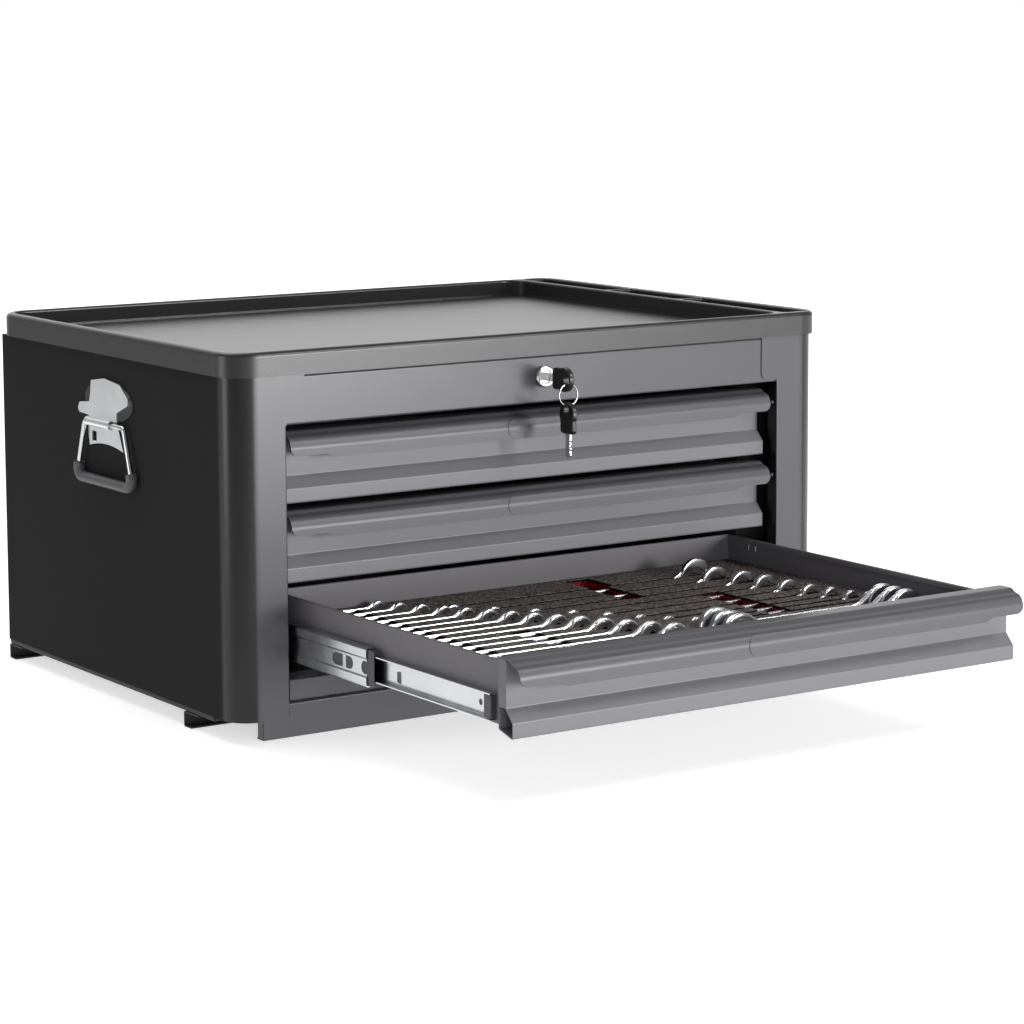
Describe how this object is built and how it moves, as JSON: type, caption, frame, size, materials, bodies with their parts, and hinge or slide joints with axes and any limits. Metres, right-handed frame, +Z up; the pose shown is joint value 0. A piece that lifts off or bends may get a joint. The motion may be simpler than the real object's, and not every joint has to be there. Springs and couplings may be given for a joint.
{
  "type": "top tool chest",
  "caption": "Sheet-metal top tool chest with ball-bearing drawers, tray top, central lock and drop handles, bottom drawer pulled out over its foam inlay of wrenches.",
  "frame": {"origin": "middle of the underside of the back foot rail, on the floor", "axes": "+X to the right seen from the front, +Y from the front to the back, +Z up"},
  "size_m": [0.7494, 0.9189, 0.3845],
  "materials": {
    "side_paint": "satin near-black paint",
    "front_paint": "smooth satin grey paint",
    "inner_steel": "dark paint on the inside parts",
    "drawer_paint": "smooth satin grey paint",
    "box_paint": "grey paint on the drawer boxes",
    "grip_plastic": "satin grey moulding",
    "tray_plastic": "grained moulding",
    "zinc_steel": "bright zinc-plated steel",
    "cast_zinc": "bright plated casting",
    "dark_plate": "dark polished backer",
    "chrome": "polished chrome",
    "spring_wire": "bright nickel wire",
    "black_plastic": "black moulding",
    "black_rubber": "soft black sleeve",
    "foam": "speckled dark closed-cell foam",
    "foam_red": "red foam layer"
  },
  "bodies": {
    "cabinet": {"side_panel_left": "side_paint", "side_panel_right": "side_paint", "back_panel": "side_paint", "bottom_pan": "inner_steel", "top_panel": "inner_steel", "top_rail": "front_paint", "lower_rail": "front_paint", "front_skirt": "front_paint", "front_foot_rail": "inner_steel", "back_foot_rail": "inner_steel", "slide_posts_left": "inner_steel", "slide_posts_right": "inner_steel", "cabinet_slides_left": "zinc_steel", "cabinet_slides_right": "zinc_steel", "top_tray": "tray_plastic", "body_rivets": "zinc_steel", "lock_housing": "chrome", "lock_nut": "zinc_steel", "rod_bracket": "inner_steel", "lock_bar_guides": "zinc_steel", "handle_plate_left": "cast_zinc", "handle_plate_right": "cast_zinc", "handle_backers": "dark_plate"},
    "drawer_1": {"drawer_box_1": "box_paint", "drawer_front_1": "drawer_paint", "drawer_grip_1": "grip_plastic", "drawer_slides_1": "zinc_steel", "slide_bumpers_1": "black_plastic"},
    "slide_1": {"middle_slides_1": "zinc_steel", "ball_cages_1": "black_plastic"},
    "drawer_2": {"drawer_box_2": "box_paint", "drawer_front_2": "drawer_paint", "drawer_grip_2": "grip_plastic", "drawer_slides_2": "zinc_steel", "slide_bumpers_2": "black_plastic"},
    "slide_2": {"middle_slides_2": "zinc_steel", "ball_cages_2": "black_plastic"},
    "drawer_3": {"drawer_box_3": "box_paint", "drawer_front_3": "drawer_paint", "drawer_grip_3": "grip_plastic", "drawer_slides_3": "zinc_steel", "slide_bumpers_3": "black_plastic", "foam_inlay": "foam", "foam_base": "foam_red", "small_wrenches": "chrome", "large_wrenches": "chrome"},
    "slide_3": {"middle_slides_3": "zinc_steel", "ball_cages_3": "black_plastic"},
    "lock": {"lock_cylinder": "chrome", "torque_rod": "zinc_steel", "key_head": "black_plastic", "key_blade": "spring_wire"},
    "lock_bar": {"lock_bar": "zinc_steel"},
    "key_ring": {"key_ring": "spring_wire"},
    "spare_key": {"spare_key_head": "black_plastic", "spare_key_blade": "spring_wire"},
    "handle_left": {"bail_left": "spring_wire", "bail_grip_left": "black_rubber"},
    "handle_right": {"bail_right": "spring_wire", "bail_grip_right": "black_rubber"}
  },
  "joints": [
    {"name": "drawer_slide_1", "type": "slide", "parent": "cabinet", "child": "drawer_1", "axis": [0, -1, 0], "range_m": [0, 0.4], "deforming": ["key_ring", "spare_key_head", "spare_key_blade"]},
    {"name": "middle_slide_1", "type": "slide", "parent": "cabinet", "child": "slide_1", "axis": [0, -1, 0], "range_m": [0, 0.2]},
    {"name": "drawer_slide_2", "type": "slide", "parent": "cabinet", "child": "drawer_2", "axis": [0, -1, 0], "range_m": [0, 0.4]},
    {"name": "middle_slide_2", "type": "slide", "parent": "cabinet", "child": "slide_2", "axis": [0, -1, 0], "range_m": [0, 0.2]},
    {"name": "drawer_slide_3", "type": "slide", "parent": "cabinet", "child": "drawer_3", "axis": [0, -1, 0], "range_m": [-0.397, 0.003]},
    {"name": "middle_slide_3", "type": "slide", "parent": "cabinet", "child": "slide_3", "axis": [0, -1, 0], "range_m": [-0.1985, 0.0015]},
    {"name": "lock_bar_lift", "type": "slide", "parent": "cabinet", "child": "lock_bar", "axis": [0, 0, 1], "range_m": [0, 0.012]},
    {"name": "lock_turn", "type": "hinge", "parent": "cabinet", "child": "lock", "pos_m": [0, -0.5113, 0.338], "axis": [0, 1, 0], "range_deg": [0, 90]},
    {"name": "key_ring_swing", "type": "hinge", "parent": "lock", "child": "key_ring", "pos_m": [0, -0.5555, 0.338], "axis": [1, 0, 0], "range_deg": [-45, 25]},
    {"name": "spare_key_swing", "type": "hinge", "parent": "key_ring", "child": "spare_key", "pos_m": [0, -0.5555, 0.30842], "axis": [1, 0, 0], "range_deg": [-45, 15]},
    {"name": "handle_left_swing", "type": "hinge", "parent": "cabinet", "child": "handle_left", "pos_m": [-0.368, -0.2495, 0.289], "axis": [0, 1, 0], "range_deg": [0, 90]},
    {"name": "handle_right_swing", "type": "hinge", "parent": "cabinet", "child": "handle_right", "pos_m": [0.368, -0.2495, 0.289], "axis": [0, -1, 0], "range_deg": [0, 90]}
  ],
  "couplings": [
    {"joint": "middle_slide_1", "follows": "drawer_slide_1", "ratio": 0.5},
    {"joint": "middle_slide_2", "follows": "drawer_slide_2", "ratio": 0.5},
    {"joint": "middle_slide_3", "follows": "drawer_slide_3", "ratio": 0.5},
    {"joint": "lock_turn", "follows": "lock_bar_lift", "rad_per_m": 130.9}
  ]
}
